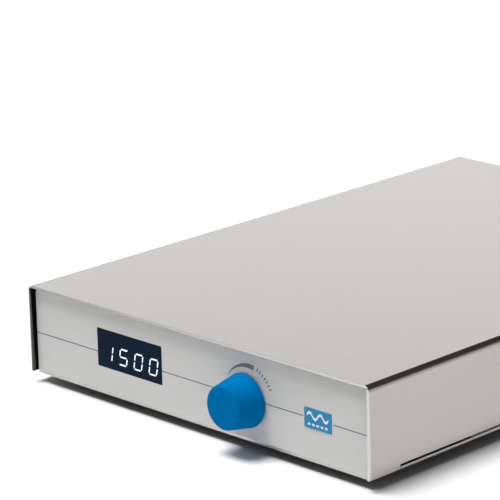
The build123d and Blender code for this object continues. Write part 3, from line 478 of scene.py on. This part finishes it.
DIGIT_WIDTH = 5.4 * MM
DIGIT_HEIGHT = 8.2 * MM
DIGIT_PITCH = 10.8 * MM
DIGIT_STROKE = 0.72 * MM
DIGIT_GAP = 0.32 * MM                 # between two segments of a digit
DIGIT_SLANT = 0.17                    # sideways for each unit up
DIGITS_RIGHT = 1.0 * MM               # group's middle from the window's middle
DIGITS_DOWN = 2.0 * MM
SEGMENTS = {                          # each one's two ends: column 0 or 1, row 0 to 2
    "a": ((0, 2), (1, 2)), "b": ((1, 1), (1, 2)), "c": ((1, 0), (1, 1)), "d": ((0, 0), (1, 0)),
    "e": ((0, 0), (0, 1)), "f": ((0, 1), (0, 2)), "g": ((0, 1), (1, 1)),
}
SHOWN = {"0": "abcdef", "1": "bc", "5": "afgcd"}
READING = "1500"


def segment_outline(start, end):
    """A stroke with pointed ends between two corners of the digit, in metres."""
    direction = (end - start).normalized()
    across = Vector((-direction.y, direction.x)) * DIGIT_STROKE / 2
    start = start + direction * DIGIT_GAP
    end = end - direction * DIGIT_GAP
    point = direction * DIGIT_STROKE / 2
    return [start, start + point + across, end - point + across, end,
            end - point - across, start + point - across]


def add_digits():
    """The lit seven-segment reading in the window."""
    middle_x = (WINDOW_LOW.x + WINDOW_HIGH.x) / 2 + DIGITS_RIGHT
    middle_z = (WINDOW_LOW.z + WINDOW_HIGH.z) / 2 - DIGITS_DOWN
    outlines = []
    for place, digit in enumerate(READING):
        shift = (place - (len(READING) - 1) / 2) * DIGIT_PITCH
        for segment in SHOWN[digit]:
            ends = [Vector((x * DIGIT_WIDTH - DIGIT_WIDTH / 2, (z - 1) * DIGIT_HEIGHT / 2))
                    for x, z in SEGMENTS[segment]]
            outlines.append([
                (middle_x + shift + p.x + p.y * DIGIT_SLANT, middle_z + p.y)
                for p in segment_outline(*ends)
            ])
    prism("reading", outlines, WINDOW_LOW.y, SEGMENT_LIGHT)


MOTIF_SPAN = 0.8                      # share of the badge's width
WAVE_TURNS = 2
WAVE_STEPS = 48
WAVE_MIDDLE = 0.64                    # this and the next two: shares of the badge's height
WAVE_SWING = 0.15
WAVE_HALF = 0.065                     # half of the line's width, measured straight up
DASHES = 5
DASH_SHARE = 0.6                      # of a dash's pitch
DASH_BOTTOM, DASH_TOP = 0.16, 0.26    # shares of the badge's height


def wave_outline(left, span, middle, height):
    """A band of even height along two turns of a sine wave."""
    line = [(left + span * i / WAVE_STEPS,
             middle + WAVE_SWING * height * sin(2 * pi * WAVE_TURNS * i / WAVE_STEPS))
            for i in range(WAVE_STEPS + 1)]
    half = WAVE_HALF * height
    return [(x, z + half) for x, z in line] + [(x, z - half) for x, z in line[::-1]]


def add_badge_motif():
    """A plain wave over a row of dashes, in place of any name."""
    width = BADGE_HIGH.x - BADGE_LOW.x
    height = BADGE_HIGH.z - BADGE_LOW.z
    span = MOTIF_SPAN * width
    left = BADGE_LOW.x + (width - span) / 2
    outlines = [wave_outline(left, span, BADGE_LOW.z + WAVE_MIDDLE * height, height)]
    pitch = span / DASHES
    half = DASH_SHARE * pitch / 2
    low = BADGE_LOW.z + DASH_BOTTOM * height
    high = BADGE_LOW.z + DASH_TOP * height
    for i in range(DASHES):
        x = left + pitch * (i + 0.5)
        outlines.append(rectangle(x - half, x + half, low, high))
    prism("badge_motif", outlines, BADGE_LOW.y, WHITE_INK)


# ---- Camera, light and floor ----
CAMERA_YAW = 45.0                     # degrees, as are the next two
CAMERA_PITCH = 16.76
CAMERA_ROLL = -1.20
CAMERA_LENS = 205.7                   # millimetres, as is the sensor's width
CAMERA_SENSOR = 36.0
CAMERA_REACH = 50.0                   # metres
CAMERA_FROM_COVER = Vector((0.944, -0.901, 0.480))   # from the middle of its front lower edge


def add_camera():
    yaw, pitch, roll = radians(CAMERA_YAW), radians(CAMERA_PITCH), radians(CAMERA_ROLL)
    forward = Vector((-sin(yaw) * cos(pitch), cos(yaw) * cos(pitch), -sin(pitch)))
    level = Vector((cos(yaw), sin(yaw), 0))
    rise = level.cross(forward)
    right = level * cos(roll) + rise * sin(roll)
    up = rise * cos(roll) - level * sin(roll)
    data = bpy.data.cameras.new("camera")
    data.sensor_width = CAMERA_SENSOR
    data.lens = CAMERA_LENS
    data.clip_end = CAMERA_REACH
    camera = bpy.data.objects.new("camera", data)
    bpy.context.scene.collection.objects.link(camera)
    turn = Matrix((right, up, -forward)).transposed().to_4x4()
    place = CAMERA_FROM_COVER + Vector((0, COVER_LOW.y, COVER_LOW.z))
    camera.matrix_world = Matrix.Translation(place) @ turn
    bpy.context.scene.camera = camera


# The sky's light, by the way that a ray goes. Each pair is where a soft edge starts and where
# it ends, as cosines of the angle between the ray and LEFT, BEHIND, UP or KEY_WAY.
LEFT = Vector((-1.0, 0.0, 0.0))
BEHIND = Vector((0.0, 1.0, 0.0))
UP = Vector((0.0, 0.0, 1.0))
KEY_LIGHT = 20.5
KEY_WAY = Vector((-0.18, -0.20, 1.0))
KEY_EDGE = (0.95, 0.988)
BACKDROP = 1.17
BACKDROP_TOP = (0.34, 0.46)
BACKDROP_NEAR = (-0.1, 0.3)
BACKDROP_RIGHT = (0.0, 0.4)
SIDE_LIGHT = 0.5
SIDE_BOTTOM = (0.40, 0.55)
SIDE_RIGHT = (0.35, 0.7)
SIDE_FAR = (0.0, 0.4)
HORIZON = 0.20
HORIZON_TOP = (0.30, 0.42)
DIM = 0.10                            # from everywhere else
SKY_COLOR = (1.0, 1.0, 1.0)


class Sky(Nodes):
    """The world's node tree, placed by the way that a ray goes."""

    def __init__(self, name):
        self.world = bpy.data.worlds.new(name)
        self.world.use_nodes = True
        super().__init__(self.world.node_tree, "Generated")

    def rise(self, direction, edge):
        """From 0 away from a direction to 1 towards it, with a soft edge."""
        node = self.tree.nodes.new("ShaderNodeVectorMath")
        node.operation = "DOT_PRODUCT"
        self.feed(node.inputs[0], self.place)
        node.inputs[1].default_value = direction.normalized()
        return self.remap(node.outputs["Value"], *edge, interpolation="SMOOTHSTEP")

    def fall(self, direction, edge):
        """From 1 away from a direction to 0 towards it, with a soft edge."""
        return self.math("SUBTRACT", 1.0, self.rise(direction, edge))


def key_light(sky):
    """A narrow light overhead, a little to the left and to the front."""
    return sky.product(sky.rise(KEY_WAY, KEY_EDGE), KEY_LIGHT)


def backdrop_light(sky):
    """A bright sheet low down, behind and to the left, that the cover's top reflects."""
    behind = sky.product(sky.rise(BEHIND, BACKDROP_NEAR), sky.rise(LEFT, BACKDROP_RIGHT))
    return sky.product(sky.fall(UP, BACKDROP_TOP), behind, BACKDROP)


def side_light(sky):
    """A weak light above the horizon, in front and to the left."""
    left = sky.product(sky.rise(LEFT, SIDE_RIGHT), sky.fall(BEHIND, SIDE_FAR))
    return sky.product(left, sky.rise(UP, SIDE_BOTTOM), SIDE_LIGHT)


def horizon_light(sky):
    """A faint light all round, low down."""
    return sky.product(sky.fall(UP, HORIZON_TOP), HORIZON)


def add_world():
    """A white studio: four lights over a dim room, and plain white where the camera sees it."""
    sky = Sky("studio")
    bpy.context.scene.world = sky.world
    low = sky.math("MAXIMUM", backdrop_light(sky), horizon_light(sky))
    bright = sky.math("ADD", key_light(sky), low)
    total = sky.math("ADD", bright, sky.math("ADD", side_light(sky), DIM))
    seen = sky.tree.nodes.new("ShaderNodeLightPath").outputs["Is Camera Ray"]
    background = sky.tree.nodes["Background"]
    sky.feed(background.inputs["Strength"], sky.math("MAXIMUM", total, seen))
    sky.feed(background.inputs["Color"], SKY_COLOR)


FLOOR_HALF = 12.0                     # metres
FLOOR_WHITE = (0.80, 0.80, 0.80)


def add_floor():
    """A matt white floor at the feet's height."""
    mesh = bpy.data.meshes.new("floor")
    corners = rectangle(-FLOOR_HALF, FLOOR_HALF, -FLOOR_HALF, FLOOR_HALF)
    mesh.from_pydata([(x, y, 0) for x, y in corners], [], [(0, 1, 2, 3)])
    floor = bpy.data.objects.new("floor", mesh)
    bpy.context.scene.collection.objects.link(floor)
    shader = Shader("floor_white")
    shader.set(Specular_IOR_Level=0.2)
    shader.finish(shader.drift(FLOOR_WHITE, share=0.005, scale=2.0), roughness=0.8)
    mesh.materials.append(shader.material)


bpy.context.scene.view_settings.view_transform = "Standard"
dress_frame()
add_panel_line()
add_knob_scale()
add_digits()
add_badge_motif()
add_camera()
add_world()
add_floor()
